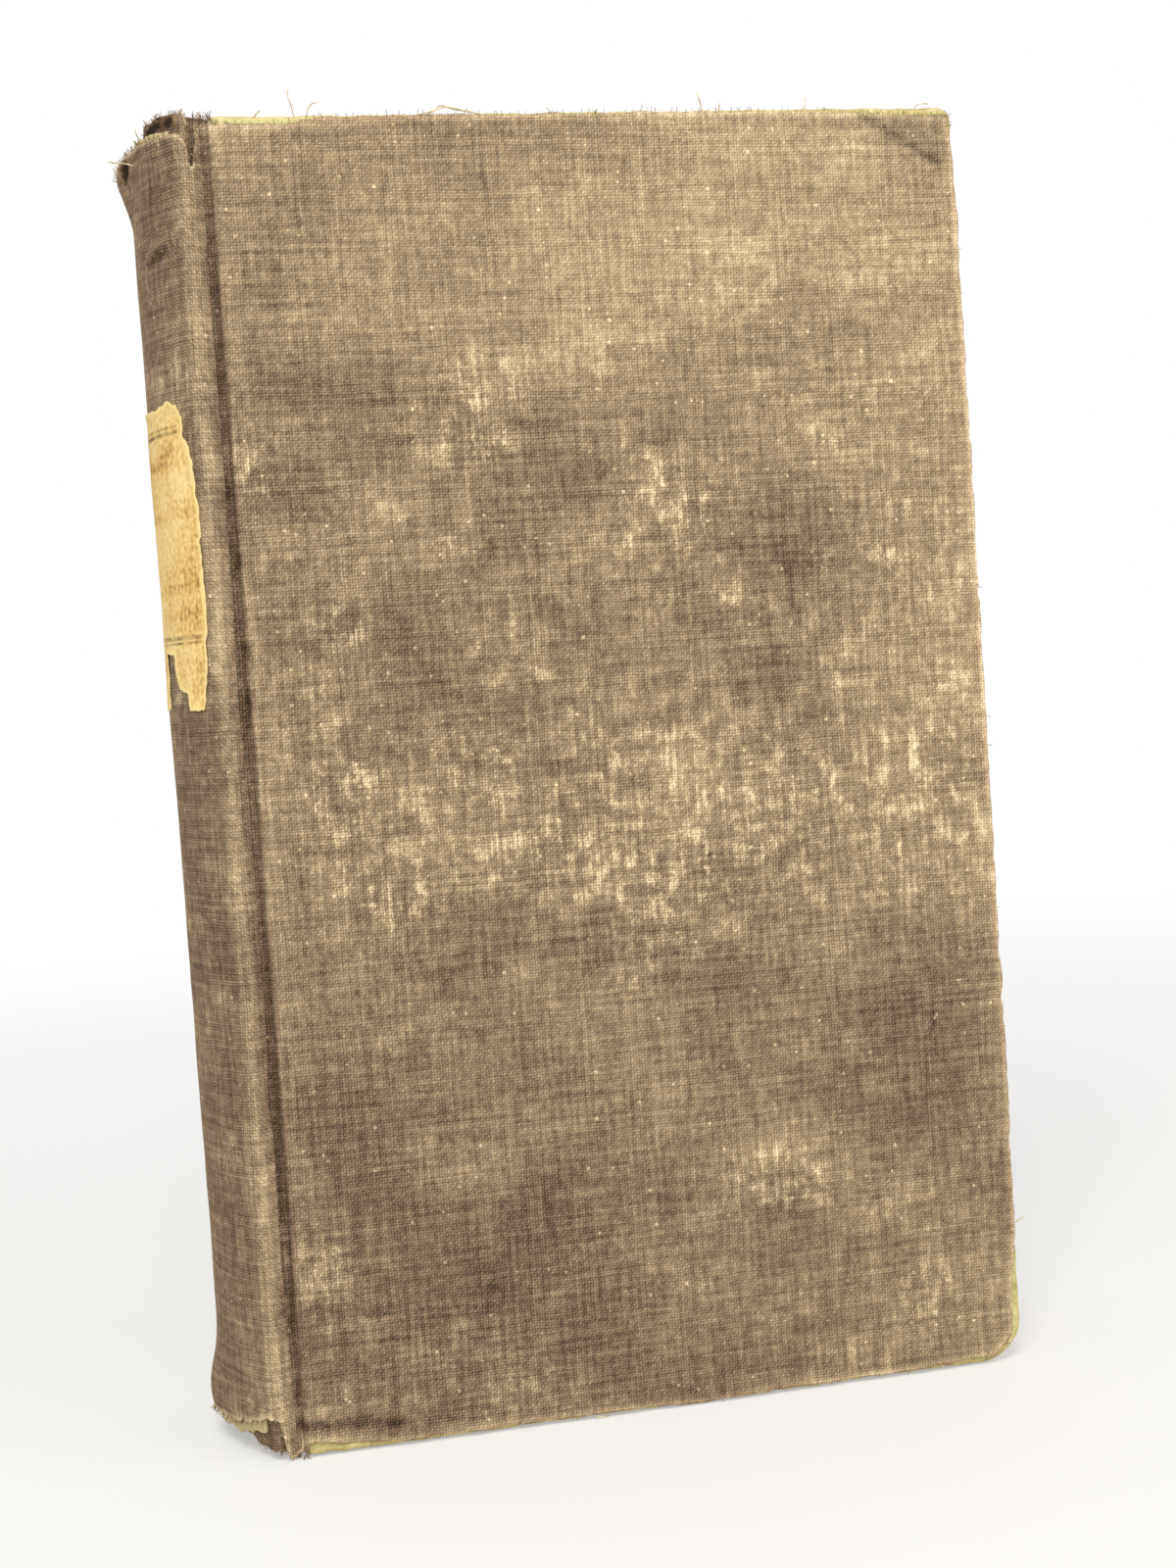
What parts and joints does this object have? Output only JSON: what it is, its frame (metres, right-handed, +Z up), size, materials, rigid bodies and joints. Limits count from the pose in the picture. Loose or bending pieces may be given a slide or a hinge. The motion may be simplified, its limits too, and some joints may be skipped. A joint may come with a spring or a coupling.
{
  "type": "cloth-bound hardback book",
  "caption": "Old hardback book in worn plain-weave cloth, with a round hollow spine, torn paper label, grooved joints and covers that open.",
  "frame": {"origin": "under the middle of the closed book, at the tail edges it stands on", "axes": "+Z up from tail to head, +X from the spine to the fore-edge, and the front cover faces -Y"},
  "size_m": [0.1462, 0.04, 0.23],
  "materials": {
    "book_cloth": "worn matte weave",
    "straw_board": "fibrous matte",
    "page_paper": "aged matte",
    "end_paper": "aged matte",
    "label_paper": "torn and stained",
    "inlay_card": "fibrous matte",
    "mull": "open gauze under glue",
    "hemp_cord": "twisted"
  },
  "bodies": {
    "book_block": {"text_block": "page_paper", "sewing_cords": "hemp_cord", "spine_mull": "mull", "spine_inlay": "inlay_card", "spine_cloth": "book_cloth", "spine_label": "label_paper", "front_free_endpaper": "end_paper", "back_free_endpaper": "end_paper"},
    "front_cover": {"front_board": "straw_board", "front_cover_cloth": "book_cloth", "front_mull_flange": "mull", "front_pastedown": "end_paper"},
    "back_cover": {"back_board": "straw_board", "back_cover_cloth": "book_cloth", "back_mull_flange": "mull", "back_pastedown": "end_paper"}
  },
  "joints": [
    {"name": "front_cover_hinge", "type": "hinge", "parent": "book_block", "child": "front_cover", "pos_m": [-0.06082, -0.0202, 0.115], "axis": [0, 0, -1], "range_deg": [0, 180]},
    {"name": "back_cover_hinge", "type": "hinge", "parent": "book_block", "child": "back_cover", "pos_m": [-0.06082, 0.0202, 0.115], "axis": [0, 0, 1], "range_deg": [0, 180]}
  ]
}
